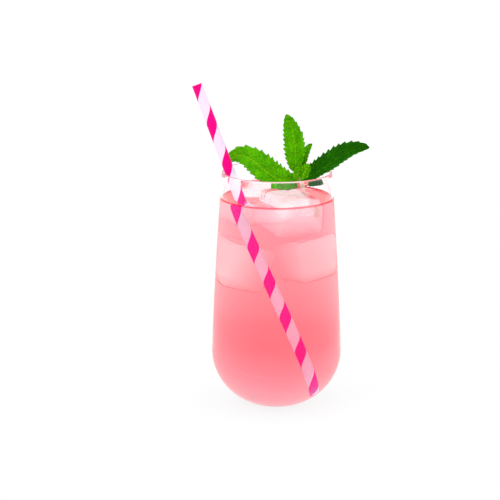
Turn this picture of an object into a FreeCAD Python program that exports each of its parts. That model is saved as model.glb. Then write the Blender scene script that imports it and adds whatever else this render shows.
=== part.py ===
import FreeCAD, Part
import math
import os
import Sketcher
from FreeCAD import Placement, Rotation, Vector

# A stemless glass of pink lemonade: glass, drink, paper straw, two ice cubes and a sprig of mint.
# Millimetres, +Z up. The origin is the centre of the glass's foot; -Y is the side that faces the
# drinker, and the straw leans out over the rim towards -X.

SIZES = [
    # the glass
    ("glass_height", 139.0),
    ("rim_radius", 31.95),
    ("belly_radius", 38.2),
    ("belly_height", 31.9),
    ("foot_radius", 14.0),
    ("side_arc", 2900.0),
    ("glass_wall", 1.2),
    ("glass_floor", 2.8),
    ("rim_round", 0.5),
    # the drink
    ("fill_height", 123.0),
    # the straw
    ("straw_diameter", 6.0),
    ("straw_wall", 0.4),
    ("straw_length", 191.5),
    ("straw_rim_angle", 189.7),
    ("straw_foot_angle", -37.0),
    ("straw_foot_inset", 11.5),
    ("straw_gap", 0.12),
    # the two cubes that break the surface
    ("ice_round", 3.4),
    ("ice_gap", 0.3),
    ("front_side", 27.5),
    ("front_depth", 21.5),
    ("front_wall_gap", 0.9),
    ("front_angle", -54.0),
    ("front_turn", 28.0),
    ("front_tilt", 9.0),
    ("front_rise", 5.0),
    ("back_width", 26.0),
    ("back_length", 21.0),
    ("back_depth", 22.0),
    ("back_wall_gap", 1.0),
    ("back_angle", 123.0),
    ("back_turn", 8.0),
    ("back_tilt", 6.0),
    ("back_lean", -5.0),
    ("back_rise", 6.0),
    # the mint
    ("stem_diameter", 2.4),
    ("stem_sunk", 13.0),
    ("leaf_scale", 1.0),
    ("leaf_thickness", 0.55),
    ("mint_lift", 3.1),
]

# Each leaf: where it starts, from the stem's node in x, y, z; heading and how it swings; pitch at
# four even steps from base to tip; length; width; roll and how it changes; angle of its V-fold;
# number of teeth on each side.
LEAVES = [
    ("leaf_left", (-0.2, -1.5, -0.6), (182, -8), (0, 31, 33, -78), 47.6, 17.5, (60, -18), 18, 11),
    ("leaf_right", (0.4, -1.3, -0.2), (-15, -3), (22, 36, 30, 2), 46.4, 15.5, (-48, -6), 32, 11),
    ("leaf_upright", (-2.5, 1.2, 4.0), (180, 0), (88, 87, 76, 64), 34.8, 14.0, (112, -25), 28, 9),
    ("leaf_behind", (-1.6, 0.8, 3.0), (35, -20), (50, 72, 62, 36), 20.0, 8.5, (-60, 0), 25, 5),
    ("leaf_heart", (-0.4, -2.0, -0.2), (215, 0), (50, 80, 95, 110), 8.8, 7.8, (90, 0), 10, 3),
    ("leaf_young", (0.1, -1.6, 0.5), (0, 0), (50, 62, 66, 70), 10.4, 8.2, (-80, 0), 10, 3),
    ("leaf_low", (0.5, -2.0, -0.7), (-20, 8), (0, 0, -4, -6), 13.5, 7.5, (-38, 0), 10, 4),
]
LEAF_BASE_POWER = 0.62
LEAF_TIP_POWER = 0.75
LEAF_TOOTH = 0.16
LEAF_STALK = 0.8
STEM_SIDES = 8

doc = FreeCAD.newDocument("lemonade_glass")
sheet = doc.addObject("Spreadsheet::Sheet", "Sizes")
for row, (alias, value) in enumerate(SIZES, start=1):
    sheet.set(f"A{row}", alias)
    sheet.set(f"B{row}", str(value))
    sheet.setAlias(f"B{row}", alias)
doc.recompute()


def size(alias):
    """A driving size, read from the sheet."""
    return float(sheet.get(alias))


# ---------------------------------------------------------------- the glass's profile
# The bowl's side is one arc from the foot's edge up round the belly; a nearly straight arc of
# large radius goes on from it, tangent, up to the rim. The inner face runs at the wall's
# thickness inside both.


def bowl():
    """Centres and radii of the two arcs, outside and inside, and where they meet."""
    reach = size("belly_radius") - size("foot_radius")
    low_r = (reach**2 + size("belly_height") ** 2) / (2 * reach)
    low_c = Vector(size("belly_radius") - low_r, size("belly_height"), 0)
    top = Vector(size("rim_radius"), size("glass_height"), 0)
    high_r = size("side_arc")
    between = high_r - low_r
    span = top - low_c
    along = (high_r**2 - between**2 - span.Length**2) / (2 * between)
    turn = math.atan2(span.y, span.x) - math.acos(along / span.Length)
    high_c = low_c - Vector(math.cos(turn), math.sin(turn), 0) * between
    inner_top = Vector(size("rim_radius") - size("glass_wall"), size("glass_height"), 0)
    high_in = (inner_top - high_c).Length
    return low_c, low_r, high_c, high_r, turn, high_in, high_in - between


LOW_C, LOW_R, HIGH_C, HIGH_R, TURN, HIGH_IN, LOW_IN = bowl()


def inner_radius(height):
    """Radius of the glass's inner face at a height."""
    if height < LOW_C.y + LOW_IN * math.sin(TURN):
        return LOW_C.x + math.sqrt(max(LOW_IN**2 - (height - LOW_C.y) ** 2, 0.0))
    return HIGH_C.x + math.sqrt(HIGH_IN**2 - (height - HIGH_C.y) ** 2)


def arc(centre, radius, start, end):
    return Part.ArcOfCircle(Part.Circle(centre, Vector(0, 0, 1), radius), start, end)


def angle_at(centre, radius, height):
    return math.asin((height - centre.y) / radius)


def origin_plane(body, role):
    return next(o for o in body.Origin.OriginFeatures if o.Role == role)


def bowl_sketch(body, name, top_alias, filled):
    """Half-section in the XZ plane: the glass's wall and floor, or, if filled, what it holds."""
    sketch = body.newObject("Sketcher::SketchObject", name)
    sketch.AttachmentSupport = [(origin_plane(body, "XZ_Plane"), "")]
    sketch.MapMode = "FlatFace"
    foot, floor, top = size("foot_radius"), size("glass_floor"), size(top_alias)
    height, wall = size("glass_height"), size("glass_wall")
    low_start = math.atan2(-LOW_C.y, foot - LOW_C.x)
    in_start = angle_at(LOW_C, LOW_IN, floor)
    out_end = angle_at(HIGH_C, HIGH_R, height)
    in_end = angle_at(HIGH_C, HIGH_IN, top)
    floor_r = LOW_C.x + LOW_IN * math.cos(in_start)
    top_r = HIGH_C.x + HIGH_IN * math.cos(in_end)
    belly = Vector(size("belly_radius"), LOW_C.y, 0)

    def add(geometry, helper=False):
        return sketch.addGeometry(geometry, helper)

    def tie(*what):
        return sketch.addConstraint(Sketcher.Constraint(*what))

    def datum(alias, *what):
        index = tie(*what)
        sketch.renameConstraint(index, alias)
        sketch.setExpression(f"Constraints.{alias}", f"Sizes.{alias}")

    origin = (-1, 1)
    foot_line = add(Part.LineSegment(Vector(0, 0, 0), Vector(foot, 0, 0)), filled)
    low_out = add(arc(LOW_C, LOW_R, low_start, TURN), filled)
    high_out = add(arc(HIGH_C, HIGH_R, TURN, out_end), filled)
    low_in = add(arc(LOW_C, LOW_IN, in_start, TURN))
    high_in = add(arc(HIGH_C, HIGH_IN, TURN, in_end))
    floor_line = add(Part.LineSegment(Vector(0, floor, 0), Vector(floor_r, floor, 0)))
    belly_line = add(Part.LineSegment(LOW_C, belly), True)
    tie("Coincident", foot_line, 1, *origin)
    tie("Horizontal", foot_line)
    tie("Coincident", foot_line, 2, low_out, 1)
    tie("Tangent", low_out, 2, high_out, 1)
    tie("Coincident", low_in, 3, low_out, 3)
    tie("Coincident", high_in, 3, high_out, 3)
    tie("Tangent", low_in, 2, high_in, 1)
    tie("Horizontal", floor_line)
    tie("Coincident", floor_line, 2, low_in, 1)
    tie("PointOnObject", floor_line, 1, -2)
    tie("Coincident", belly_line, 1, low_out, 3)
    tie("Horizontal", belly_line)
    tie("PointOnObject", belly_line, 2, low_out)
    datum("foot_radius", "DistanceX", *origin, foot_line, 2, foot)
    datum("belly_radius", "DistanceX", *origin, belly_line, 2, belly.x)
    datum("belly_height", "DistanceY", *origin, belly_line, 2, belly.y)
    datum("rim_radius", "DistanceX", *origin, high_out, 2, size("rim_radius"))
    datum("glass_height", "DistanceY", *origin, high_out, 2, height)
    datum("side_arc", "Radius", high_out, HIGH_R)
    datum("glass_floor", "DistanceY", *origin, floor_line, 1, floor)
    if filled:
        # the wall's thickness is carried in by a helper line across the rim
        rim_in = Vector(size("rim_radius") - wall, height, 0)
        rim_line = add(Part.LineSegment(Vector(size("rim_radius"), height, 0), rim_in), True)
        tie("Coincident", rim_line, 1, high_out, 2)
        tie("Horizontal", rim_line)
        tie("PointOnObject", rim_line, 2, high_in)
        level = add(Part.LineSegment(Vector(top_r, top, 0), Vector(0, top, 0)))
        middle = add(Part.LineSegment(Vector(0, top, 0), Vector(0, floor, 0)))
        tie("Coincident", high_in, 2, level, 1)
        tie("Horizontal", level)
        tie("Coincident", level, 2, middle, 1)
        tie("Coincident", middle, 2, floor_line, 1)
        tie("Vertical", middle)
        datum(top_alias, "DistanceY", *origin, level, 2, top)
    else:
        rim_line = add(Part.LineSegment(Vector(size("rim_radius"), height, 0), Vector(top_r, height, 0)))
        middle = add(Part.LineSegment(Vector(0, floor, 0), Vector(0, 0, 0)))
        tie("Coincident", rim_line, 1, high_out, 2)
        tie("Coincident", rim_line, 2, high_in, 2)
        tie("Horizontal", rim_line)
        tie("Coincident", middle, 1, floor_line, 1)
        tie("Coincident", middle, 2, foot_line, 1)
    datum("glass_wall", "DistanceX", rim_line, 2, rim_line, 1, wall)
    return sketch


def turned(name, label, top_alias, filled):
    """A body of revolution about Z from the bowl's half-section."""
    body = doc.addObject("PartDesign::Body", name)
    body.Label = label
    sketch = bowl_sketch(body, name + "_section", top_alias, filled)
    doc.recompute()
    turn = body.newObject("PartDesign::Revolution", name + "_turned")
    turn.Profile = sketch
    turn.ReferenceAxis = (sketch, ["V_Axis"])
    turn.Angle = 360.0
    doc.recompute()
    return body, turn


glass, glass_turned = turned("glass_body", "glass", "glass_height", False)
rim_edges = [
    f"Edge{i}"
    for i, edge in enumerate(glass_turned.Shape.Edges, start=1)
    if abs(edge.BoundBox.ZMin - size("glass_height")) < 1e-6 and abs(edge.BoundBox.ZLength) < 1e-6
]
rim = glass.newObject("PartDesign::Fillet", "rim_rounding")
rim.Base = (glass_turned, rim_edges)
rim.Radius = size("rim_round")
rim.setExpression("Radius", "min(Sizes.rim_round; 0.45 * Sizes.glass_wall)")
doc.recompute()

drink, drink_turned = turned("drink_body", "drink_uncut", "fill_height", True)

# ---------------------------------------------------------------- the straw
# A straight paper tube. It leans on the inner edge of the rim and stands on the curve where the
# bowl's side turns into the floor, so both ends follow the glass.


def at_angle(radius, degrees, height):
    return Vector(radius * math.cos(math.radians(degrees)), radius * math.sin(math.radians(degrees)), height)


def ring_clearance(foot, axis, radius):
    """Least distance from the straw's lower edge to the glass's inner face and floor."""
    across = axis.cross(Vector(0, 0, 1)).normalize()
    up = across.cross(axis).normalize()
    least = 1e9
    for step in range(72):
        a = math.radians(5 * step)
        p = foot + across * (radius * math.cos(a)) + up * (radius * math.sin(a))
        side = inner_radius(p.z) - math.hypot(p.x, p.y)
        least = min(least, side, p.z - size("glass_floor"))
    return least


def straw_line():
    """Foot and direction of the straw's axis."""
    radius = size("straw_diameter") / 2
    foot_r = size("belly_radius") - size("straw_foot_inset")
    lean = 0.0
    low = size("glass_floor")
    for _ in range(12):
        rim_r = inner_radius(size("glass_height")) - radius / math.cos(lean) - size("straw_gap")
        over_rim = at_angle(rim_r, size("straw_rim_angle"), size("glass_height"))
        low, high = size("glass_floor"), size("belly_height")
        for _ in range(40):
            middle = (low + high) / 2
            foot = at_angle(foot_r, size("straw_foot_angle"), middle)
            axis = (over_rim - foot).normalize()
            if ring_clearance(foot, axis, radius) < size("straw_gap"):
                low = middle
            else:
                high = middle
        lean = axis.getAngle(Vector(0, 0, 1))
    return foot, axis


STRAW_FOOT, STRAW_AXIS = straw_line()
straw_turn = Rotation(Vector(0, 0, 1), STRAW_AXIS)
BORE_OVERRUN = 2.0


def rod(name, foot, turn, radius, length):
    """A cylinder whose radius and length are bound to the sheet."""
    piece = doc.addObject("Part::Cylinder", name)
    piece.setExpression("Radius", radius)
    piece.setExpression("Height", length)
    piece.Placement = Placement(foot, turn)
    return piece


straw_solid = rod("straw_solid", STRAW_FOOT, straw_turn, "Sizes.straw_diameter / 2", "Sizes.straw_length")
straw_bore = rod(
    "straw_bore",
    STRAW_FOOT - STRAW_AXIS * BORE_OVERRUN,
    straw_turn,
    "Sizes.straw_diameter / 2 - Sizes.straw_wall",
    f"Sizes.straw_length + {2 * BORE_OVERRUN}",
)
straw = doc.addObject("Part::Cut", "straw_tube")
straw.Base = straw_solid
straw.Tool = straw_bore
straw.Label = "straw"

# the room that the straw needs in the ice
straw_room = rod(
    "straw_room",
    STRAW_FOOT - STRAW_AXIS * BORE_OVERRUN,
    straw_turn,
    "Sizes.straw_diameter / 2 + Sizes.ice_gap",
    f"Sizes.straw_length + {2 * BORE_OVERRUN}",
)

# ---------------------------------------------------------------- the ice
# Rounded cubes that float with their tops out of the drink, each against the glass's inner wall.
# Where a cube would reach the wall, the straw or the other cube, it has melted away to a gap.


def cube_placement(width, length, depth, angle, wall_gap, turn, tilt, lean, rise):
    """Centre of the cube's top lies at the angle given, as far out as its corner allows."""
    rotation = Rotation(Vector(0, 0, 1), turn) * Rotation(Vector(1, 0, 0), tilt) * Rotation(Vector(0, 1, 0), lean)
    corner = math.hypot(width, length) / 2 - size("ice_round") * (math.sqrt(2) - 1)
    out = inner_radius(size("fill_height")) - wall_gap - corner
    centre = at_angle(out, angle, size("fill_height") + rise)
    half = rotation.multVec(Vector(width / 2, length / 2, depth))
    return Placement(centre - half, rotation)


def ice_cube(name, width, length, depth, placement):
    """A box with all twelve edges rounded."""
    box = doc.addObject("Part::Box", name + "_box")
    box.setExpression("Length", f"Sizes.{width}")
    box.setExpression("Width", f"Sizes.{length}")
    box.setExpression("Height", f"Sizes.{depth}")
    box.Placement = placement
    doc.recompute()
    cube = doc.addObject("Part::Fillet", name + "_cube")
    cube.Base = box
    cube.Edges = [(i, size("ice_round"), size("ice_round")) for i in range(1, 13)]
    return cube


def melted(name, cube, rooms):
    """The cube kept inside the glass's hollow and clear of the rooms given."""
    inside = doc.addObject("Part::Common", name + "_inside")
    inside.Base = cube
    inside.Tool = hollow
    clear = doc.addObject("Part::Cut", name)
    clear.Base = inside
    clear.Tool = rooms[0]
    if len(rooms) > 1:
        both = doc.addObject("Part::MultiFuse", name + "_rooms")
        both.Shapes = rooms
        clear.Tool = both
    clear.Label = name
    return clear


# the hollow of the glass, less a gap at the wall: a turned solid up past the rim
hollow = doc.addObject("Part::Feature", "ice_hollow")
gap = size("ice_gap")
steps = 24
low_z, high_z = size("glass_floor") + gap, size("glass_height")
side = [Vector(inner_radius(z) - gap, 0, z) for z in (low_z + (high_z - low_z) * i / steps for i in range(steps + 1))]
curve = Part.BSplineCurve()
curve.interpolate(side)
section = Part.Wire(
    [
        curve.toShape(),
        Part.makeLine(side[-1], Vector(0, 0, high_z)),
        Part.makeLine(Vector(0, 0, high_z), Vector(0, 0, low_z)),
        Part.makeLine(Vector(0, 0, low_z), side[0]),
    ]
)
hollow.Shape = Part.Face(section).revolve(Vector(0, 0, 0), Vector(0, 0, 1), 360)

front_place = cube_placement(
    size("front_side"),
    size("front_side"),
    size("front_depth"),
    size("front_angle"),
    size("front_wall_gap"),
    size("front_turn"),
    size("front_tilt"),
    0.0,
    size("front_rise"),
)
front_cube = ice_cube("front", "front_side", "front_side", "front_depth", front_place)
ice_front = melted("ice_front", front_cube, [straw_room])

back_place = cube_placement(
    size("back_width"),
    size("back_length"),
    size("back_depth"),
    size("back_angle"),
    size("back_wall_gap"),
    size("back_turn"),
    size("back_tilt"),
    size("back_lean"),
    size("back_rise"),
)
back_cube = ice_cube("back", "back_width", "back_length", "back_depth", back_place)
# the front cube with the gap all round it, which the back cube keeps out of
front_room = doc.addObject("Part::Box", "front_room")
front_room.setExpression("Length", "Sizes.front_side + 2 * Sizes.ice_gap")
front_room.setExpression("Width", "Sizes.front_side + 2 * Sizes.ice_gap")
front_room.setExpression("Height", "Sizes.front_depth + 2 * Sizes.ice_gap")
front_room.Placement = front_place * Placement(Vector(-gap, -gap, -gap), Rotation())
ice_back = melted("ice_back", back_cube, [straw_room, front_room])

# ---------------------------------------------------------------- the mint
# The stem comes up out of the drink behind the front cube's raised corner and passes over it; the
# leaves spring from its node and rest on the ice and the rim.

peak = front_place.multVec(Vector(size("front_side"), size("front_side"), size("front_depth")))
NODE = peak + Vector(0.0, -4.2, size("mint_lift"))
STEM_BEND = NODE + Vector(1.4, 6.6, -2.2)
STEM_FOOT = Vector(STEM_BEND.x + 1.5, STEM_BEND.y + 2.5, size("fill_height") - size("stem_sunk"))
STEM_PATH = [STEM_FOOT, STEM_BEND, NODE + Vector(0.1, -1.5, -0.4), NODE + Vector(-2.6, 1.3, 4.7)]


def at_quarter(values, t):
    """Smooth value at t through four values at t = 0, 1/3, 2/3 and 1."""
    knots = (0, 1 / 3, 2 / 3, 1)
    total = 0.0
    for i, value in enumerate(values):
        weight = 1.0
        for j, knot in enumerate(knots):
            if j != i:
                weight *= (t - knot) / (knots[i] - knot)
        total += weight * value
    return total


def leaf_width(t):
    """Share of the full half-width at t: pointed at the tip, widest below the middle."""
    widest = LEAF_BASE_POWER / (LEAF_BASE_POWER + LEAF_TIP_POWER)
    full = widest**LEAF_BASE_POWER * (1 - widest) ** LEAF_TIP_POWER
    return t**LEAF_BASE_POWER * (1 - t) ** LEAF_TIP_POWER / full


def leaf_solid(offset, heading, pitch, length, width, roll, fold, teeth):
    """A closed shell of flat facets round the midrib: two halves folded up, edges toothed."""
    scale = size("leaf_scale")
    thick = size("leaf_thickness")
    length, width = length * scale, width * scale
    base = NODE + Vector(*offset)
    stations = 2 * teeth
    fold = math.radians(fold)
    rows = []
    point = base
    for i in range(stations + 1):
        t = i / stations
        head = math.radians(heading[0] + heading[1] * t)
        rise = math.radians(at_quarter(pitch, t))
        bank = math.radians(roll[0] + roll[1] * t)
        along = Vector(math.cos(rise) * math.cos(head), math.cos(rise) * math.sin(head), math.sin(rise))
        up = Vector(-math.sin(rise) * math.cos(head), -math.sin(rise) * math.sin(head), math.cos(rise))
        side = along.cross(up)
        right = side * math.cos(bank) + up * math.sin(bank)
        face = up * math.cos(bank) - side * math.sin(bank)
        tooth = 1.0 if i % 2 else 1.0 - LEAF_TOOTH
        half = max(width / 2 * leaf_width(t) * tooth, LEAF_STALK * (1 - t), 0.15)
        edge = thick * 0.5
        out_r = right * math.cos(fold) + face * math.sin(fold)
        out_l = face * math.sin(fold) - right * math.cos(fold)
        rows.append(
            [
                point + out_l * half + face * edge / 2,
                point + face * thick * 0.3,
                point + out_r * half + face * edge / 2,
                point + out_r * half - face * edge / 2,
                point - face * thick * 0.7,
                point + out_l * half - face * edge / 2,
            ]
        )
        point = point + along * (length / stations)
    return facet_solid(rows)


def facet_solid(rows):
    """Closed solid of triangles through rings of points, with a fan of facets at each end."""
    count = len(rows[0])
    faces = []

    def facet(a, b, c):
        if (b - a).cross(c - a).Length > 1e-7:
            faces.append(Part.Face(Part.makePolygon([a, b, c, a])))

    for ring, after in zip(rows, rows[1:]):
        for k in range(count):
            n = (k + 1) % count
            facet(ring[k], ring[n], after[n])
            facet(ring[k], after[n], after[k])
    for ring, flip in ((rows[0], True), (rows[-1], False)):
        middle = Vector(0, 0, 0)
        for p in ring:
            middle = middle + p * (1.0 / count)
        for k in range(count):
            n = (k + 1) % count
            if flip:
                facet(middle, ring[n], ring[k])
            else:
                facet(middle, ring[k], ring[n])
    shell = Part.makeShell(faces)
    shell.sewShape()
    solid = Part.makeSolid(Part.Shell(shell.Faces))
    if solid.Volume < 0:
        solid.reverse()
    return solid


def stem_solid(path, radius):
    """A closed shell of flat facets round a path, with a ring square to the path at each point."""
    rows = []
    for i, point in enumerate(path):
        before = path[max(i - 1, 0)]
        after = path[min(i + 1, len(path) - 1)]
        along = (after - before).normalize()
        across = along.cross(Vector(1, 0, 0.3)).normalize()
        up = along.cross(across)
        ring = []
        for k in range(STEM_SIDES):
            a = 2 * math.pi * (k + 0.37) / STEM_SIDES
            ring.append(point + across * (radius * math.cos(a)) + up * (radius * math.sin(a)))
        rows.append(ring)
    return facet_solid(rows)


stem = doc.addObject("Part::Feature", "stem")
stem.Shape = stem_solid(STEM_PATH, size("stem_diameter") / 2)
sprig_pieces = [stem]
for name, offset, heading, pitch, length, width, roll, fold, teeth in LEAVES:
    leaf = doc.addObject("Part::Feature", name)
    leaf.Shape = leaf_solid(offset, heading, pitch, length, width, roll, fold, teeth)
    sprig_pieces.append(leaf)
mint = sprig_pieces[0]
for number, piece in enumerate(sprig_pieces[1:], start=1):
    grown = doc.addObject("Part::Fuse", f"sprig_{number}")
    grown.Base = mint
    grown.Tool = piece
    grown.Refine = False
    mint = grown
mint.Label = "mint_sprig"

# ---------------------------------------------------------------- the drink, cut round what stands in it
standing = doc.addObject("Part::MultiFuse", "standing_in_drink")
standing.Shapes = [straw, ice_front, ice_back, stem]
lemonade = doc.addObject("Part::Cut", "drink_cut")
lemonade.Base = drink
lemonade.Tool = standing
lemonade.Label = "lemonade"
doc.recompute()

# ---------------------------------------------------------------- checks and export
PARTS = [glass, lemonade, straw, ice_front, ice_back, mint]
for item in doc.Objects:
    for word in ("Invalid", "Error"):
        if word in item.State:
            raise RuntimeError(f"{item.Label} is {item.State}")
for item in PARTS:
    if item.Shape.isNull() or not item.Shape.isValid():
        raise RuntimeError(f"{item.Label} has no valid shape")
    if len(item.Shape.Solids) != 1:
        raise RuntimeError(f"{item.Label} has {len(item.Shape.Solids)} solids, not one")

os.makedirs("parts", exist_ok=True)
for item in PARTS:
    item.Shape.exportStep(f"parts/{item.Label}.step")
    box = item.Shape.BoundBox
    print(
        item.Label,
        f"volume {item.Shape.Volume:.1f}",
        f"x {box.XMin:.1f} {box.XMax:.1f} y {box.YMin:.1f} {box.YMax:.1f} z {box.ZMin:.1f} {box.ZMax:.1f}",
    )
print("straw foot", STRAW_FOOT, "axis", STRAW_AXIS, "top", STRAW_FOOT + STRAW_AXIS * size("straw_length"))
print("mint node", NODE)
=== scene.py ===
import math

import bmesh
import bpy
from mathutils import Matrix, Vector, noise


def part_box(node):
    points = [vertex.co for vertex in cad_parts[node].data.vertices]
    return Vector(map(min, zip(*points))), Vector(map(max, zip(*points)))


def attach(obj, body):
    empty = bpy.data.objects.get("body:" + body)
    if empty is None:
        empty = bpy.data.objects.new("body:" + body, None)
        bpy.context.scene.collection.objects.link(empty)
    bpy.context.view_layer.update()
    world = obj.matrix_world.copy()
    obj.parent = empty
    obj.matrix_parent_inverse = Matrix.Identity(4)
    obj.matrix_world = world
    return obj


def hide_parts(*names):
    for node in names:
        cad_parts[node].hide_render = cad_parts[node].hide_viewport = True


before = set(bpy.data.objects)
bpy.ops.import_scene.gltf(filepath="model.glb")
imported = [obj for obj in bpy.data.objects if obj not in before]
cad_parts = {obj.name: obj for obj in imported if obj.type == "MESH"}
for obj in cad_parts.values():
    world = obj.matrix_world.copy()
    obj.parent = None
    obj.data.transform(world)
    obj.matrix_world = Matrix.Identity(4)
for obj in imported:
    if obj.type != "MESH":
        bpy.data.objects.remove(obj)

# the waves of the ice come from seeded noise, so that every run makes the same ones
noise.seed_set(7)
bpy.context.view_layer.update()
MM = 0.001

# ------------------------------------------------------------------ sizes, in millimetres
GLASS_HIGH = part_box("glass")[1]
DRINK_LOW, DRINK_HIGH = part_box("lemonade")
HEIGHT = GLASS_HIGH[2] / MM
BELLY = GLASS_HIGH[0] / MM
LEVEL = DRINK_HIGH[2] / MM
FLOOR = DRINK_LOW[2] / MM
# radius of the rim, height of the widest place, radius of the flat foot
RIM = 31.95
BELLY_Z = 31.9
FOOT = 14.0
# radius of the long arc from belly to rim
SIDE_ARC = 2900.0
WALL = 1.2
# how far the drink reaches into the wall and the floor, so that no air lies between
INTO_WALL = 0.45
INTO_FLOOR = 0.9
# how far the drink climbs the wall, and how far from the wall that dies away
CLIMB = 1.3
CLIMB_REACH = 1.1


def bowl():
    """Arcs of the glass's side: low one round the belly, high one on to the rim."""
    reach = BELLY - FOOT
    low_r = (reach**2 + BELLY_Z**2) / (2 * reach)
    low_c = Vector((BELLY - low_r, BELLY_Z))
    between = SIDE_ARC - low_r
    span = Vector((RIM, HEIGHT)) - low_c
    along = (SIDE_ARC**2 - between**2 - span.length**2) / (2 * between)
    turn = math.atan2(span.y, span.x) - math.acos(along / span.length)
    high_c = low_c - Vector((math.cos(turn), math.sin(turn))) * between
    return low_c, low_r, high_c, turn


LOW_C, LOW_R, HIGH_C, TURN = bowl()


def side_radius(z, inset):
    """Radius of the side at a height, that far inside the outer face."""
    low = LOW_R - inset
    if z < LOW_C.y + low * math.sin(TURN):
        return LOW_C.x + math.sqrt(max(low**2 - (z - LOW_C.y) ** 2, 0.0))
    return HIGH_C.x + math.sqrt((SIDE_ARC - inset) ** 2 - (z - HIGH_C.y) ** 2)


# ------------------------------------------------------------------ mesh helpers
def piece_from(name, verts, faces, material, replaces=(), uvs=None):
    """A mesh object from points in millimetres, riding on the root body."""
    mesh = bpy.data.meshes.new(name)
    mesh.from_pydata([tuple(c * MM for c in v) for v in verts], [], faces)
    mesh.validate()
    if uvs is not None:
        layer = mesh.uv_layers.new(name="UVMap")
        for loop in mesh.loops:
            layer.data[loop.index].uv = uvs[loop.vertex_index]
    obj = bpy.data.objects.new(name, mesh)
    bpy.context.scene.collection.objects.link(obj)
    mesh.polygons.foreach_set("use_smooth", [True] * len(mesh.polygons))
    mesh.materials.append(material)
    mesh.update()
    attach(obj, "root")
    if replaces:
        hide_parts(*replaces)
    return obj


def lathe(profile, segments):
    """Points and faces of a surface turned about Z; both ends of the profile lie on the axis."""
    verts, faces, rings = [], [], []
    for r, z in profile:
        if r < 1e-6:
            rings.append([len(verts)])
            verts.append((0.0, 0.0, z))
            continue
        ring = []
        for k in range(segments):
            a = 2 * math.pi * k / segments
            ring.append(len(verts))
            verts.append((r * math.cos(a), r * math.sin(a), z))
        rings.append(ring)
    for low, high in zip(rings, rings[1:]):
        for k in range(segments):
            n = (k + 1) % segments
            if len(low) == 1:
                faces.append((low[0], high[n], high[k]))
            elif len(high) == 1:
                faces.append((low[k], low[n], high[0]))
            else:
                faces.append((low[k], low[n], high[n], high[k]))
    return verts, faces


def apply_modifiers(obj):
    """Applies an object's modifiers to its mesh."""
    graph = bpy.context.evaluated_depsgraph_get()
    mesh = bpy.data.meshes.new_from_object(obj.evaluated_get(graph))
    old = obj.data
    obj.modifiers.clear()
    obj.data = mesh
    bpy.data.meshes.remove(old)


# ------------------------------------------------------------------ node helpers
class Nodes:
    """A short way to write a material's nodes."""

    def __init__(self, name):
        self.material = bpy.data.materials.new(name)
        self.material.use_nodes = True
        self.tree = self.material.node_tree
        self.tree.nodes.clear()
        self.out = self.add("ShaderNodeOutputMaterial")

    def add(self, kind, inputs=None, **settings):
        node = self.tree.nodes.new(kind)
        for key, value in settings.items():
            setattr(node, key, value)
        for key, value in (inputs or {}).items():
            socket = node.inputs[key]
            if isinstance(value, bpy.types.NodeSocket):
                self.tree.links.new(value, socket)
            else:
                socket.default_value = value
        return node

    def maths(self, operation, a, b=None, c=None, clamp=False):
        values = {0: a}
        if b is not None:
            values[1] = b
        if c is not None:
            values[2] = c
        return self.add("ShaderNodeMath", values, operation=operation, use_clamp=clamp).outputs[0]

    def mix(self, share, a, b):
        node = self.add("ShaderNodeMix", data_type="RGBA")
        for index, value in ((0, share), (6, a), (7, b)):
            if isinstance(value, bpy.types.NodeSocket):
                self.tree.links.new(value, node.inputs[index])
            else:
                node.inputs[index].default_value = value
        return node.outputs[2]

    def ramp(self, value, stops):
        node = self.add("ShaderNodeValToRGB", {0: value})
        elements = node.color_ramp.elements
        while len(elements) < len(stops):
            elements.new(0.5)
        for element, (position, colour) in zip(elements, stops):
            element.position = position
            element.color = colour if len(colour) == 4 else (*colour, 1.0)
        return node.outputs[0]

    def place(self):
        """The point in the object's own frame, in metres."""
        return self.add("ShaderNodeTexCoord").outputs["Object"]

    def split(self, vector):
        return self.add("ShaderNodeSeparateXYZ", {0: vector}).outputs

    def noise(self, scale, detail, rough):
        inputs = {"Scale": scale, "Detail": detail, "Roughness": rough, "Vector": self.place()}
        return self.add("ShaderNodeTexNoise", inputs).outputs[0]

    def bump(self, height, strength, distance):
        inputs = {"Height": height, "Strength": strength, "Distance": distance}
        return self.add("ShaderNodeBump", inputs).outputs[0]

    def surface(self, **inputs):
        named = {key.replace("_", " "): value for key, value in inputs.items()}
        shader = self.add("ShaderNodeBsdfPrincipled", named)
        self.tree.links.new(shader.outputs[0], self.out.inputs["Surface"])


def srgb(r, g, b):
    """Linear colour from 0-255 screen values."""

    def linear(c):
        c /= 255.0
        return c / 12.92 if c <= 0.04045 else ((c + 0.055) / 1.055) ** 2.4

    return (linear(r), linear(g), linear(b), 1.0)


# ------------------------------------------------------------------ glass
# the lip's depth, in millimetres; below, lengths inside the material are in metres
LIP_DEPTH = 1.3
LIP_BAND = 0.0006
WET_BAND = 0.002
# the ring round the foot that is painted in the drink's colour and given a painted pink glow: top, inner
# radius, widths of their edges
RING_TOP, RING_TOP_EDGE = 0.0042, 0.0020
RING_IN, RING_IN_EDGE = 0.0118, 0.0014
# painted glow of the glass: faint where the drink is behind it, what the dry wall adds to it, and the
# lip's own painted highlight
GLASS_LIGHT, DRY_LIGHT, LIP_LIGHT = 0.003, 0.006, 0.12


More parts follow.
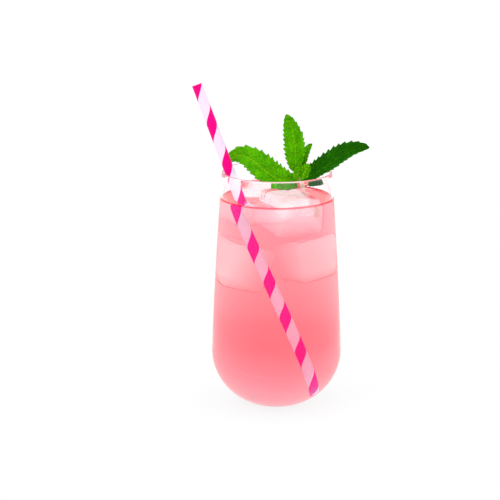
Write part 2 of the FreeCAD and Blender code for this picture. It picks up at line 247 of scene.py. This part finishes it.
def glass_material():
    n = Nodes("clear_glass")
    smear = n.noise(55.0, 4.0, 0.6)
    tint = n.ramp(smear, [(0.3, (0.985, 0.99, 1.0)), (0.7, (1.0, 1.0, 1.0))])
    rough = n.ramp(smear, [(0.45, (0.0, 0.0, 0.0)), (0.75, (0.012, 0.012, 0.012))])
    x, y, height = n.split(n.place())
    across = n.maths("MULTIPLY", x, x)
    deep = n.maths("MULTIPLY", y, y)
    radius = n.maths("POWER", n.maths("ADD", across, deep), 0.5)
    low = n.maths("DIVIDE", n.maths("SUBTRACT", RING_TOP, height), RING_TOP_EDGE, clamp=True)
    outer = n.maths("DIVIDE", n.maths("SUBTRACT", radius, RING_IN), RING_IN_EDGE, clamp=True)
    ring = n.maths("MULTIPLY", low, outer)
    # painted colour and glow: the ring round the foot takes the drink's pink
    tint = n.mix(ring, tint, srgb(255, 140, 156))
    light = n.mix(ring, (1.0, 0.96, 0.98, 1.0), srgb(255, 100, 120))
    # painted glow, more on the dry wall above the drink
    dry = n.maths("DIVIDE", n.maths("SUBTRACT", height, LEVEL * MM), WET_BAND, clamp=True)
    glow = n.maths("MULTIPLY_ADD", dry, DRY_LIGHT, GLASS_LIGHT)
    # painted highlight: the rounded lip glows as if it caught the light
    lip_from = n.maths("SUBTRACT", height, (HEIGHT - LIP_DEPTH) * MM)
    lip = n.maths("MULTIPLY", n.maths("DIVIDE", lip_from, LIP_BAND, clamp=True), LIP_LIGHT)
    n.surface(
        Base_Color=tint,
        Roughness=rough,
        Transmission_Weight=1.0,
        IOR=1.46,
        Specular_IOR_Level=0.3,
        Specular_Tint=(0.15, 0.15, 0.15, 1.0),
        Emission_Color=light,
        Emission_Strength=n.maths("ADD", glow, lip),
    )
    return n.material


def glass_profile():
    """Underside, outer side, rounded lip, inner side and inner floor."""
    rim_r = 0.54
    points = [(0.0, 0.0)]
    points += [(FOOT * i / 6, 0.0) for i in range(1, 6)]
    points.append((FOOT - 0.5, 0.0))
    start = math.atan2(-LOW_C.y, FOOT - LOW_C.x)
    steps = 44
    for i in range(steps + 1):
        a = start + (TURN - start) * i / steps
        points.append((LOW_C.x + LOW_R * math.cos(a), LOW_C.y + LOW_R * math.sin(a)))
    steps = 40
    low_z = points[-1][1]
    for i in range(1, steps + 1):
        z = low_z + (HEIGHT - rim_r - low_z) * i / steps
        points.append((side_radius(z, 0.0), z))
    middle = side_radius(HEIGHT, WALL / 2)
    for i in range(1, 8):
        a = math.pi * i / 8
        points.append((middle + WALL / 2 * math.cos(a), HEIGHT - rim_r + rim_r * math.sin(a)))
    inner_low = LOW_C.y + (LOW_R - WALL) * math.sin(TURN)
    for i in range(steps + 1):
        z = HEIGHT - rim_r + (inner_low - HEIGHT + rim_r) * i / steps
        points.append((side_radius(z, WALL), z))
    end = math.asin((FLOOR - LOW_C.y) / (LOW_R - WALL))
    steps = 44
    for i in range(1, steps + 1):
        a = TURN + (end - TURN) * i / steps
        inner_r = LOW_R - WALL
        points.append((LOW_C.x + inner_r * math.cos(a), LOW_C.y + inner_r * math.sin(a)))
    floor_r = points[-1][0]
    points += [(floor_r * (1 - i / 6), FLOOR) for i in range(1, 6)]
    points.append((0.0, FLOOR))
    return points


verts, faces = lathe(glass_profile(), 192)
piece_from("tumbler", verts, faces, glass_material(), replaces=("glass",))


# ------------------------------------------------------------------ ice
CUBE_ROUNDING = 3.6
# the cloud's width and height as shares of its cube's, and how far up the cube it sits
CLOUD_WIDTH, CLOUD_HEIGHT, CLOUD_LIFT = 0.74, 0.42, 0.16
CLOUD_ROUNDING = 0.42


def ice_material(name, rough, light):
    n = Nodes(name)
    cloud = n.noise(160.0, 3.0, 0.6)
    tint = n.ramp(cloud, [(0.3, (1.0, 0.99, 0.99)), (0.75, (0.97, 0.97, 0.98))])
    height = n.noise(220.0, 2.0, 0.5)
    n.surface(
        Base_Color=tint,
        Roughness=rough,
        Transmission_Weight=1.0,
        IOR=1.31,
        Specular_IOR_Level=0.2,
        Normal=n.bump(height, 0.08, 0.0004),
        # painted pink glow of the ice; its strength is the light given
        Emission_Color=(1.0, 0.80, 0.84, 1.0),
        Emission_Strength=light,
    )
    return n.material


def frost_material():
    """The whitish cloud of fine bubbles in a cube's middle, with a painted glow in its own colour."""
    n = Nodes("ice_cloud")
    puff = n.noise(120.0, 2.0, 0.5)
    alpha = n.ramp(puff, [(0.30, (0.10, 0.10, 0.10)), (0.75, (0.40, 0.40, 0.40))])
    colour = n.ramp(puff, [(0.3, (0.93, 0.90, 0.92)), (0.7, (1.0, 0.99, 0.99))])
    n.surface(
        Base_Color=colour,
        Roughness=0.9,
        Specular_IOR_Level=0.0,
        Alpha=alpha,
        # painted glow in the cloud's own colour
        Emission_Color=colour,
        Emission_Strength=0.50,
    )
    return n.material


ICE = ice_material("wet_ice", rough=0.15, light=0.024)
SUNK_ICE = ice_material("sunk_ice", rough=0.06, light=0.005)
FROST = frost_material()


def cube_mesh(size, rounding, steps, rough, seed):
    """Points and faces of a rounded, slightly melted box about the origin."""
    verts, faces, index = [], [], {}
    half = [c / 2 for c in size]
    inner = [h - rounding for h in half]

    def vertex(p):
        key = tuple(round(c, 4) for c in p)
        if key in index:
            return index[key]
        core = Vector([max(-i, min(i, c)) for i, c in zip(inner, p)])
        out = Vector(p) - core
        point = core + out.normalized() * rounding if out.length > 1e-9 else Vector(p)
        wave = noise.noise_vector(point * 0.11 + Vector((seed, 2.0 * seed, 0.3))) * rough
        wave += noise.noise_vector(point * 0.33 + Vector((seed, 0.7, seed))) * (rough * 0.3)
        index[key] = len(verts)
        verts.append(tuple(point + wave))
        return index[key]

    for axis in range(3):
        for sign in (-1, 1):
            u, v = (axis + 1) % 3, (axis + 2) % 3
            for i in range(steps):
                for j in range(steps):
                    quad = []
                    for di, dj in ((0, 0), (1, 0), (1, 1), (0, 1)):
                        p = [0.0, 0.0, 0.0]
                        p[axis] = sign * half[axis]
                        p[u] = half[u] * math.sin(math.pi / 2 * (2 * (i + di) / steps - 1))
                        p[v] = half[v] * math.sin(math.pi / 2 * (2 * (j + dj) / steps - 1))
                        quad.append(vertex(p))
                    faces.append(quad if sign > 0 else quad[::-1])
    return verts, faces


def placed(verts, centre, turns):
    """Turned about X, Y, then Z in degrees and moved."""
    x, y, z = (math.radians(t) for t in turns)
    turn = Matrix.Rotation(z, 3, "Z") @ Matrix.Rotation(x, 3, "X") @ Matrix.Rotation(y, 3, "Y")
    return [tuple(turn @ Vector(v) + Vector(centre)) for v in verts]


def middle_of(node):
    """Middle of a CAD node's box, in millimetres."""
    low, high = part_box(node)
    return [(a + b) / 2 / MM for a, b in zip(low, high)]


# name, size, centre, turns about x, y, z, roughness of shape, CAD node
CUBES = [
    ("ice_front_cube", (27.4, 27.4, 21.4), middle_of("ice_front"), (9, 0, 28), 0.55, "ice_front"),
    ("ice_back_cube", (25.9, 20.9, 21.9), middle_of("ice_back"), (6, -5, 8), 0.5, "ice_back"),
    ("ice_sunk_left", (25.0, 26.0, 27.0), (-17.5, 6.0, 84.0), (8, 14, 20), 0.7, None),
    ("ice_sunk_right", (25.0, 24.0, 24.0), (15.5, 3.0, 88.0), (-6, -8, 33), 0.7, None),
]
cube_objects = []
for number, (name, size, centre, turns, rough, node) in enumerate(CUBES):
    verts, faces = cube_mesh(size, CUBE_ROUNDING, 22, rough, 3.1 + number)
    verts = placed(verts, centre, turns)
    look = ICE if node else SUNK_ICE
    stands_for = (node,) if node else ()
    cube_objects.append(piece_from(name, verts, faces, look, replaces=stands_for))
    if not node:
        continue
    shrunk = (size[0] * CLOUD_WIDTH, size[1] * CLOUD_WIDTH, size[2] * CLOUD_HEIGHT)
    centre = (centre[0], centre[1], centre[2] + size[2] * CLOUD_LIFT)
    verts, faces = cube_mesh(shrunk, min(shrunk) * CLOUD_ROUNDING, 16, 0.4, 9.7 + number)
    piece_from(name + "_cloud", placed(verts, centre, turns), faces, FROST)


# ------------------------------------------------------------------ drink
# where the climb's painted deeper colour starts above the level and the width of its edge, in metres
CLIMB_START, CLIMB_EDGE = 0.00015, 0.0003
# the ice is taken out this much smaller than it is, in millimetres
ICE_OVERLAP = 0.08


def drink_material():
    n = Nodes("pink_lemonade")
    height = n.split(n.place())["Z"]
    share = n.maths("DIVIDE", height, LEVEL * MM, clamp=True)
    haze = n.noise(30.0, 3.0, 0.5)
    share = n.maths("ADD", share, n.maths("MULTIPLY_ADD", haze, 0.10, -0.05), clamp=True)
    # painted light and shade by height: the tint is near white at the bottom and towards the top, with a
    # deeper pink band in the lower half
    tint = n.ramp(
        share,
        [
            (0.0, srgb(255, 254, 254)),
            (0.12, srgb(255, 250, 252)),
            (0.19, srgb(255, 230, 232)),
            (0.24, srgb(255, 210, 214)),
            (0.32, srgb(255, 200, 203)),
            (0.52, srgb(255, 244, 242)),
            (0.95, srgb(255, 253, 254)),
        ],
    )
    # painted shade: where it climbs the glass it is seen edge on, and is painted a deeper pink
    above = n.maths("SUBTRACT", height, LEVEL * MM + CLIMB_START)
    tint = n.mix(n.maths("DIVIDE", above, CLIMB_EDGE, clamp=True), tint, srgb(255, 120, 138))
    n.surface(
        Base_Color=tint,
        Roughness=0.0,
        Transmission_Weight=1.0,
        IOR=1.333,
        Specular_IOR_Level=0.3,
        Specular_Tint=(0.2, 0.2, 0.2, 1.0),
        # painted pink glow of the drink
        Emission_Color=(1.0, 0.24, 0.31, 1.0),
        Emission_Strength=0.010,
    )
    volume = n.add("ShaderNodeVolumeAbsorption")
    volume.inputs["Color"].default_value = (1.0, 0.296, 0.387, 1.0)
    volume.inputs["Density"].default_value = 25.0
    n.tree.links.new(volume.outputs[0], n.out.inputs["Volume"])
    return n.material


def drink_profile():
    """Just into the wall and floor; the surface climbs a little where it meets the glass."""
    inset = WALL - INTO_WALL
    bottom = FLOOR - INTO_FLOOR
    points = [(0.0, bottom)]
    end = math.asin((bottom - LOW_C.y) / (LOW_R - inset))
    floor_r = LOW_C.x + (LOW_R - inset) * math.cos(end)
    points += [(floor_r * i / 8, bottom) for i in range(1, 8)]
    steps = 40
    for i in range(steps + 1):
        a = end + (TURN - end) * i / steps
        outer_r = LOW_R - inset
        points.append((LOW_C.x + outer_r * math.cos(a), LOW_C.y + outer_r * math.sin(a)))
    low_z = points[-1][1]
    top = LEVEL + CLIMB
    steps = 50
    for i in range(1, steps + 1):
        z = low_z + (top - low_z) * i / steps
        points.append((side_radius(z, inset), z))
    wall_r = side_radius(LEVEL, WALL)
    inward = [wall_r - 4.6 * (i / 14) ** 1.6 for i in range(15)]
    for r in inward:
        points.append((r, LEVEL + CLIMB * math.exp(-(wall_r - r) / CLIMB_REACH)))
    points += [(inward[-1] * (1 - i / 14), LEVEL) for i in range(1, 14)]
    points.append((0.0, LEVEL))
    return points


verts, faces = lathe(drink_profile(), 160)
LEMONADE = drink_material()
drink = piece_from("drink", verts, faces, LEMONADE, replaces=("lemonade",))


def cut_from(target, cutters, shrink):
    """Takes the cutters out of the target, a little smaller, so that no gap is left between."""
    for cube in cutters:
        tool = cube.copy()
        tool.data = cube.data.copy()
        bpy.context.scene.collection.objects.link(tool)
        for vertex in tool.data.vertices:
            vertex.co = vertex.co - vertex.normal * (shrink * MM)
        modifier = target.modifiers.new("cut", "BOOLEAN")
        modifier.operation = "DIFFERENCE"
        modifier.solver = "EXACT"
        modifier.object = tool
        apply_modifiers(target)
        mesh = tool.data
        bpy.data.objects.remove(tool)
        bpy.data.meshes.remove(mesh)
    target.data.polygons.foreach_set("use_smooth", [True] * len(target.data.polygons))


cut_from(drink, cube_objects, ICE_OVERLAP)
# the cut brings the ice's material along, and the hollows are drink
drink.data.materials.clear()
drink.data.materials.append(LEMONADE)
for polygon in drink.data.polygons:
    polygon.material_index = 0


# ------------------------------------------------------------------ straw
STRAW_FOOT = Vector((21.324, -16.068, 10.592))
STRAW_AXIS = Vector((-0.351130, 0.083159, 0.932627)).normalized()
STRAW_LENGTH = 191.5
# outer and inner radius, and the rounding of the cut ends
STRAW_R = 3.0
STRAW_BORE = 2.6
STRAW_LIP = 0.12
# one turn of the stripe along the straw, and the closer turn from the knee down
STRIPE_LEAD = 24.94
STRIPE_LEAD_LOW = 22.0
STRIPE_KNEE = 98.9
STRIPE_SHARE = 0.46
# the stripe's middle first lies on this side of the straw, this far below the top end
STRIPE_FRONT = Vector((0.0, -0.964, 0.266))
STRIPE_START = 24.0
# painted glow of the paper: its own light on its dry part, and what the part in the glass adds
STRAW_LIGHT = 0.10
STRAW_GLOW = 0.45
# the painted glow comes in from this far above the level, and the wet ink from the level, in metres
GLOW_ABOVE, GLOW_EDGE = 0.018, 0.008
INK_EDGE = 0.004


def straw_material():
    n = Nodes("striped_paper")
    uv = n.add("ShaderNodeUVMap").outputs[0]
    around, along = n.split(uv)[:2]
    fibre = n.noise(900.0, 4.0, 0.7)
    wander = n.maths("MULTIPLY_ADD", fibre, 0.016, -0.008)
    turn = n.maths("ADD", n.maths("SUBTRACT", along, around), wander)
    saw = n.maths("FRACT", n.maths("ADD", turn, 0.5))
    away = n.maths("ABSOLUTE", n.maths("SUBTRACT", saw, 0.5))
    edge = n.maths("DIVIDE", n.maths("SUBTRACT", STRIPE_SHARE / 2, away), 0.012, clamp=True)
    inside = n.ramp(fibre, [(0.3, srgb(240, 216, 240)), (0.7, srgb(248, 226, 246))])
    deep = n.maths("SUBTRACT", LEVEL * MM, n.split(n.place())["Z"])
    wet = n.maths("DIVIDE", deep, INK_EDGE, clamp=True)
    painted_glow_within = n.maths("DIVIDE", n.maths("ADD", deep, GLOW_ABOVE), GLOW_EDGE, clamp=True)
    ink = n.mix(wet, srgb(250, 0, 132), srgb(253, 0, 172))
    ink = n.mix(n.maths("MULTIPLY", fibre, 0.12), ink, srgb(225, 0, 120))
    colour = n.mix(edge, inside, ink)
    # the seam where the paper's plies are wound edge to edge
    ply = n.maths("FRACT", n.maths("ADD", turn, 0.27))
    ply = n.maths("ABSOLUTE", n.maths("SUBTRACT", ply, 0.5))
    seam = n.maths("DIVIDE", ply, 0.012, clamp=True)
    height = n.maths("ADD", n.maths("MULTIPLY", seam, 0.8), n.maths("MULTIPLY", fibre, 0.5))
    n.surface(
        Base_Color=colour,
        Roughness=0.5,
        Specular_IOR_Level=0.06,
        Normal=n.bump(height, 0.35, 0.00012),
        # painted glow in the paper's own colour, stronger in the glass
        Emission_Color=colour,
        Emission_Strength=n.maths("MULTIPLY_ADD", painted_glow_within, STRAW_GLOW, STRAW_LIGHT),
    )
    return n.material


def stripe_turns(down):
    """Turns of the stripe at a distance below the top end; it is wound a little closer low down."""
    upper = min(down, STRIPE_KNEE)
    lower = max(down - STRIPE_KNEE, 0.0)
    return -(upper - STRIPE_START) / STRIPE_LEAD - lower / STRIPE_LEAD_LOW


def straw_mesh():
    """A tube with rounded paper edges; UV x is the turn round it, UV y the stripe's own turns."""
    front = (STRIPE_FRONT - STRAW_AXIS * STRIPE_FRONT.dot(STRAW_AXIS)).normalized()
    # turning from front towards right is anticlockwise seen from above
    right = STRAW_AXIS.cross(front).normalized()
    segments, rings = 96, 190
    profile = [(STRAW_R, STRAW_LENGTH * i / rings) for i in range(rings + 1)]
    lip = STRAW_LIP
    profile[0] = (STRAW_R, lip)
    profile[-1] = (STRAW_R, STRAW_LENGTH - lip)
    profile += [(STRAW_R - lip, STRAW_LENGTH), (STRAW_BORE + lip, STRAW_LENGTH)]
    profile += [(STRAW_BORE, STRAW_LENGTH - lip)]
    profile += [(STRAW_BORE, STRAW_LENGTH * (1 - i / 40)) for i in range(1, 40)]
    profile += [(STRAW_BORE, lip), (STRAW_BORE + lip, 0.0), (STRAW_R - lip, 0.0)]
    verts, uvs, faces = [], [], []
    for r, s in profile:
        for k in range(segments + 1):
            a = 2 * math.pi * k / segments - math.pi
            out = front * math.cos(a) + right * math.sin(a)
            verts.append(tuple(STRAW_FOOT + STRAW_AXIS * s + out * r))
            uvs.append((a / (2 * math.pi), stripe_turns(STRAW_LENGTH - s)))
    row = segments + 1
    count = len(profile)
    for i in range(count):
        j = (i + 1) % count
        for k in range(segments):
            faces.append((i * row + k, i * row + k + 1, j * row + k + 1, j * row + k))
    return verts, faces, uvs


verts, faces, uvs = straw_mesh()
PAPER = straw_material()
straw = piece_from("paper_straw", verts, faces, PAPER, replaces=("straw",), uvs=uvs)
# the seam of the mesh is closed; the stripe's map keeps its own edge there
bm = bmesh.new()
bm.from_mesh(straw.data)
bmesh.ops.remove_doubles(bm, verts=bm.verts, dist=1e-7)
bmesh.ops.recalc_face_normals(bm, faces=bm.faces)
bm.to_mesh(straw.data)
bm.free()


# ------------------------------------------------------------------ mint
# the place on the stem where the leaves meet
NODE = Vector((13.408, 3.726, 133.251))
# name, offset from the node, heading at the base and its change, pitch at four places along the
# leaf, length, width, roll at the base and its change, fold, teeth on a side; degrees, millimetres
LEAVES = [
    ("mint_left", (-0.2, -1.5, -2.0), (182, -8), (0, 31, 33, -78), 47.6, 20.5, (60, -18), 18, 13),
    ("mint_right", (0.4, -1.3, -0.2), (-15, -3), (22, 36, 30, 2), 46.4, 17.5, (-48, -6), 32, 13),
    ("mint_upright", (-2.5, 1.2, 4.0), (180, 0), (88, 87, 76, 64), 34.8, 15.5, (112, -25), 28, 11),
    ("mint_behind", (-1.6, 0.8, 3.0), (35, -20), (50, 72, 62, 36), 20.0, 6.8, (-60, 0), 25, 7),
    ("mint_heart", (-0.4, -2.0, -0.2), (215, 0), (50, 80, 95, 110), 8.8, 7.8, (90, 0), 10, 6),
    ("mint_young", (0.1, -1.6, 0.5), (0, 0), (50, 62, 66, 70), 10.4, 8.2, (-80, 0), 10, 6),
    ("mint_low", (0.5, -2.0, -0.7), (-20, 8), (0, 0, -4, -6), 13.5, 7.5, (-38, 0), 10, 7),
]
# how full a leaf's outline is at its base and at its tip
BASE_POWER, TIP_POWER = 0.52, 0.62
# side veins along a leaf, and how far each runs forward on its way to the margin
VEINS, VEIN_LEAN = 11.0, 1.5


def leaf_material(name, dark, light, vein, margin):
    n = Nodes(name)
    uv = n.add("ShaderNodeUVMap").outputs[0]
    along, across = n.split(uv)[:2]
    out = n.maths("ABSOLUTE", across)
    blotch = n.noise(140.0, 4.0, 0.6)
    fine = n.noise(900.0, 3.0, 0.6)
    body = n.mix(n.ramp(blotch, [(0.32, (0, 0, 0)), (0.68, (1, 1, 1))]), dark, light)
    body = n.mix(n.maths("MULTIPLY", fine, 0.35), body, light)
    # side veins run forward from the midrib to the teeth
    wave = n.maths("MULTIPLY", along, VEINS)
    wave = n.maths("SUBTRACT", wave, n.maths("MULTIPLY", out, VEIN_LEAN))
    ridge = n.maths("ABSOLUTE", n.maths("SUBTRACT", n.maths("FRACT", wave), 0.5))
    side = n.maths("SUBTRACT", 1.0, n.maths("DIVIDE", ridge, 0.085, clamp=True))
    side = n.maths("MULTIPLY", side, n.maths("SUBTRACT", 1.0, n.maths("MULTIPLY", out, 0.75)))
    rib = n.maths("SUBTRACT", 1.0, n.maths("DIVIDE", out, 0.075, clamp=True))
    body = n.mix(n.maths("MULTIPLY", side, 0.40), body, vein)
    body = n.mix(n.maths("MULTIPLY", rib, 0.75), body, vein)
    rim = n.ramp(out, [(0.80, (0, 0, 0)), (1.0, (0.6, 0.6, 0.6))])
    body = n.mix(rim, body, margin)
    # the blade is puckered between its smallest veins
    inputs = {"Vector": n.place(), "Scale": 620.0}
    cells = n.add("ShaderNodeTexVoronoi", inputs, feature="DISTANCE_TO_EDGE").outputs[0]
    net = n.maths("DIVIDE", cells, 0.16, clamp=True)
    body = n.mix(n.maths("MULTIPLY", n.maths("SUBTRACT", 1.0, net), 0.42), body, vein)
    quilt = n.maths("MULTIPLY", n.maths("DIVIDE", ridge, 0.35, clamp=True), 0.7)
    height = n.maths("ADD", quilt, n.maths("MULTIPLY", net, 0.8))
    height = n.maths("ADD", height, n.maths("MULTIPLY", fine, 0.4))
    n.surface(
        Base_Color=body,
        Roughness=n.ramp(fine, [(0.2, (0.38,) * 3), (0.8, (0.62,) * 3)]),
        Specular_IOR_Level=0.05,
        Normal=n.bump(height, 0.9, 0.0007),
    )
    return n.material


BRIGHT = leaf_material(
    "mint_leaf_bright",
    dark=srgb(30, 146, 0),
    light=srgb(106, 222, 0),
    vein=srgb(152, 230, 10),
    margin=srgb(96, 205, 0),
)
# painted shade: a darker copy of the leaf look, for the right and the low leaf
PAINTED_SHADE_LEAF = leaf_material(
    "mint_leaf_painted_shade",
    dark=srgb(10, 76, 0),
    light=srgb(34, 122, 0),
    vein=srgb(64, 155, 6),
    margin=srgb(90, 200, 0),
)
YOUNG = leaf_material(
    "mint_leaf_young",
    dark=srgb(84, 196, 0),
    light=srgb(124, 236, 0),
    vein=srgb(160, 240, 20),
    margin=srgb(110, 215, 0),
)
LEAF_LOOK = {"mint_right": PAINTED_SHADE_LEAF, "mint_low": PAINTED_SHADE_LEAF, "mint_heart": YOUNG, "mint_young": YOUNG}


def through_four(values, t):
    """The cubic through four values that stand at even steps from 0 to 1."""
    knots = (0, 1 / 3, 2 / 3, 1)
    total = 0.0
    for i, value in enumerate(values):
        weight = 1.0
        for j, knot in enumerate(knots):
            if j != i:
                weight *= (t - knot) / (knots[i] - knot)
        total += weight * value
    return total


def leaf_width(t):
    """Share of the full width at a place along the leaf."""
    widest = BASE_POWER / (BASE_POWER + TIP_POWER)
    full = widest**BASE_POWER * (1 - widest) ** TIP_POWER
    return t**BASE_POWER * (1 - t) ** TIP_POWER / full


def leaf(name, offset, heading, pitch, length, width, roll, fold, teeth, seed):
    """A closed leaf: toothed margin, halves folded at the midrib, quilted between its veins."""
    along_n = max(36, int(length * 2.6))
    side_n = 14
    fold = math.radians(fold)
    verts, uvs, faces = [], [], []
    for layer in (0, 1):
        point = NODE + Vector(offset)
        for i in range(along_n + 1):
            t = i / along_n
            head = math.radians(heading[0] + heading[1] * t)
            rise = math.radians(through_four(pitch, t))
            bank = math.radians(roll[0] + roll[1] * t)
            run, climb = math.cos(rise), math.sin(rise)
            tangent = Vector((run * math.cos(head), run * math.sin(head), climb))
            up = Vector((-climb * math.cos(head), -climb * math.sin(head), run))
            side = tangent.cross(up)
            right = side * math.cos(bank) + up * math.sin(bank)
            face = up * math.cos(bank) - side * math.sin(bank)
            for j in range(-side_n, side_n + 1):
                s = j / side_n
                hand = 1 if s >= 0 else -1
                shift = 0.3 if hand > 0 else 0.0
                beat = (t * (teeth + 0.5) + shift + 0.25 * noise.noise((t * 9, seed, hand))) % 1.0
                tooth = 1.0 - 0.21 * (1.0 - beat) ** 0.8 * min(1.0, (t + 0.02) * 8)
                bend = 1.0 + 0.05 * noise.noise((t * 4.0, seed + hand, 0.0))
                half = max(width / 2 * leaf_width(t) * bend, 0.7 * (1 - t), 0.05)
                # the teeth take up the outer fifth of the width
                toothed = 0.8 + (abs(s) - 0.8) * (1 + (tooth - 1) / 0.2)
                reach = half * (abs(s) if abs(s) < 0.8 else toothed)
                lean = fold + 0.10 * noise.noise((t * 3.0, seed, 5.0 * hand))
                spread = right * (hand * math.cos(lean)) + face * math.sin(lean)
                vein = (t * VEINS - abs(s) * VEIN_LEAN) % 1.0
                quilt = math.sin(math.pi * min(1.0, abs(vein - 0.5) / 0.5)) * 0.32 * min(1.0, half / 3.0)
                quilt *= math.sin(math.pi * min(1.0, max(abs(s), 0.02)))
                curl = -0.10 * half * abs(s) ** 2.2
                curl += 0.35 * noise.noise((t * 7.0, s * 1.6, seed)) * abs(s)
                thick = 0.30 * (1 - 0.6 * abs(s)) + (0.35 * (1 - t) if abs(s) < 0.08 else 0.0)
                lift = quilt + curl - (thick if layer else 0.0)
                p = point + spread * reach + face * lift
                verts.append(tuple(p))
                uvs.append((t, s))
            point = point + tangent * (length / along_n)
    row = 2 * side_n + 1
    sheet_n = row * (along_n + 1)
    for i in range(along_n):
        for j in range(row - 1):
            a = i * row + j
            faces.append((a, a + row, a + row + 1, a + 1))
            b = a + sheet_n
            faces.append((b, b + 1, b + row + 1, b + row))
        for j, flip in ((0, False), (row - 1, True)):
            a, c = i * row + j, (i + 1) * row + j
            quad = (a, a + sheet_n, c + sheet_n, c)
            faces.append(quad[::-1] if flip else quad)
    for i, flip in ((0, True), (along_n, False)):
        for j in range(row - 1):
            a = i * row + j
            quad = (a, a + sheet_n, a + sheet_n + 1, a + 1)
            faces.append(quad if flip else quad[::-1])
    piece_from(name, verts, faces, LEAF_LOOK.get(name, BRIGHT), uvs=uvs)


for number, (name, *rest) in enumerate(LEAVES):
    leaf(name, *rest, seed=1.7 + 3.1 * number)

# height at which the pale end of the stem and its painted glow begin, and the width of its edge, in
# metres
STEM_WET, STEM_EDGE = 0.131, 0.005


def stem_material():
    n = Nodes("mint_stem")
    streak = n.noise(420.0, 3.0, 0.6)
    colour = n.ramp(streak, [(0.3, srgb(96, 150, 30)), (0.7, srgb(150, 190, 60))])
    # the end that stands in the drink is pale and soft, and carries a painted glow
    height = n.split(n.place())["Z"]
    wet = n.maths("DIVIDE", n.maths("SUBTRACT", STEM_WET, height), STEM_EDGE, clamp=True)
    colour = n.mix(wet, colour, srgb(240, 222, 190))
    n.surface(
        Base_Color=colour,
        Roughness=0.5,
        Normal=n.bump(streak, 0.3, 0.0002),
        Emission_Color=colour,
        Emission_Strength=n.maths("MULTIPLY", wet, 0.5),
    )
    return n.material


def stem():
    """A square-shouldered stem, thickened at its node."""
    bend = NODE + Vector((1.4, 6.6, -2.2))
    foot = Vector((bend.x + 1.5, bend.y + 2.5, LEVEL - 13.0))
    path = [foot, bend, NODE + Vector((0.1, -1.5, -0.4)), NODE + Vector((-2.6, 1.3, 4.7))]
    ended = [path[0], *path, path[-1]]
    points = []
    for a, b, c, d in zip(ended, ended[1:], ended[2:], ended[3:]):
        for i in range(14):
            t = i / 14
            square = (2 * a - 5 * b + 4 * c - d) * t * t
            cube = (3 * b - a - 3 * c + d) * t**3
            points.append(0.5 * ((2 * b) + (c - a) * t + square + cube))
    points.append(path[-1])
    sides = 20
    verts, faces = [], []
    for i, p in enumerate(points):
        along = (points[min(i + 1, len(points) - 1)] - points[max(i - 1, 0)]).normalized()
        across = along.cross(Vector((1, 0, 0.3))).normalized()
        up = along.cross(across)
        swell = 1.0 + 0.35 * math.exp(-(((p - path[2]).length / 1.6) ** 2))
        for k in range(sides):
            a = 2 * math.pi * k / sides
            r = 1.05 * swell * (1.0 + 0.08 * math.cos(4 * a))
            verts.append(tuple(p + across * (r * math.cos(a)) + up * (r * math.sin(a))))
    for i in range(len(points) - 1):
        for k in range(sides):
            n = (k + 1) % sides
            faces.append((i * sides + k, i * sides + n, (i + 1) * sides + n, (i + 1) * sides + k))
    faces.append(tuple(range(sides))[::-1])
    faces.append(tuple((len(points) - 1) * sides + k for k in range(sides)))
    piece_from("mint_stem", verts, faces, stem_material(), replaces=("mint_sprig",))


stem()


# ------------------------------------------------------------------ floor, light and camera
def floor_material():
    n = Nodes("white_table")
    grain = n.noise(8.0, 2.0, 0.5)
    colour = n.ramp(grain, [(0.3, (0.145, 0.145, 0.145)), (0.7, (0.155, 0.155, 0.155))])
    n.surface(
        Base_Color=colour,
        Roughness=0.9,
        Specular_IOR_Level=0.0,
        Emission_Color=(1.0, 1.0, 1.0, 1.0),
        Emission_Strength=0.87,
    )
    return n.material


FLOOR_HALF = 3.0
floor_mesh = bpy.data.meshes.new("table_top")
signs = ((-1, -1), (1, -1), (1, 1), (-1, 1))
corners = [(x * FLOOR_HALF, y * FLOOR_HALF, 0) for x, y in signs]
floor_mesh.from_pydata(corners, [], [(0, 1, 2, 3)])
floor_mesh.materials.append(floor_material())
table = bpy.data.objects.new("table_top", floor_mesh)
bpy.context.scene.collection.objects.link(table)

scene = bpy.context.scene
scene.view_settings.view_transform = "Standard"
# light passes many faces of glass, ice and drink
scene.cycles.max_bounces = 128
scene.cycles.transmission_bounces = 128
scene.cycles.glossy_bounces = 64
scene.cycles.diffuse_bounces = 6
scene.cycles.transparent_max_bounces = 24
world = bpy.data.worlds.new("studio")
scene.world = world
world.use_nodes = True
tree = world.node_tree
tree.nodes.clear()
sky = tree.nodes.new("ShaderNodeBackground")
sky.inputs["Color"].default_value = (1.0, 1.0, 1.0, 1.0)
sky.inputs["Strength"].default_value = 1.0
sky_out = tree.nodes.new("ShaderNodeOutputWorld")
tree.links.new(sky.outputs[0], sky_out.inputs[0])


def softbox(name, place, target, width, height, power):
    """A soft rectangular light that faces its target."""
    data = bpy.data.lights.new(name, "AREA")
    data.shape = "RECTANGLE"
    data.size = width
    data.size_y = height
    data.energy = power
    obj = bpy.data.objects.new(name, data)
    bpy.context.scene.collection.objects.link(obj)
    obj.location = place
    obj.rotation_euler = (Vector(target) - Vector(place)).to_track_quat("-Z", "Y").to_euler()


CENTRE = (0.0, 0.0, HEIGHT * MM * 0.6)
softbox("key", (-0.55, -0.55, 0.75), CENTRE, width=0.5, height=0.5, power=0.8)
softbox("fill", (0.7, -0.35, 0.45), CENTRE, width=0.4, height=0.6, power=0.3)

# the camera stands a metre away and looks down at about fifteen degrees
camera_data = bpy.data.cameras.new("camera")
camera_data.sensor_width = 36.0
camera_data.lens = 122.4
camera_data.clip_end = 20.0
camera = bpy.data.objects.new("camera", camera_data)
scene.collection.objects.link(camera)
VIEW_DISTANCE = 1.0
VIEW_ELEVATION = math.radians(15.43)
camera.location = (
    0.0,
    -VIEW_DISTANCE * math.cos(VIEW_ELEVATION),
    HEIGHT / 2 * MM + VIEW_DISTANCE * math.sin(VIEW_ELEVATION),
)
AIM_DOWN = math.radians(14.19)
AIM_LEFT = math.radians(0.928)
camera.rotation_euler = (math.pi / 2 - AIM_DOWN, 0.0, AIM_LEFT)
scene.camera = camera
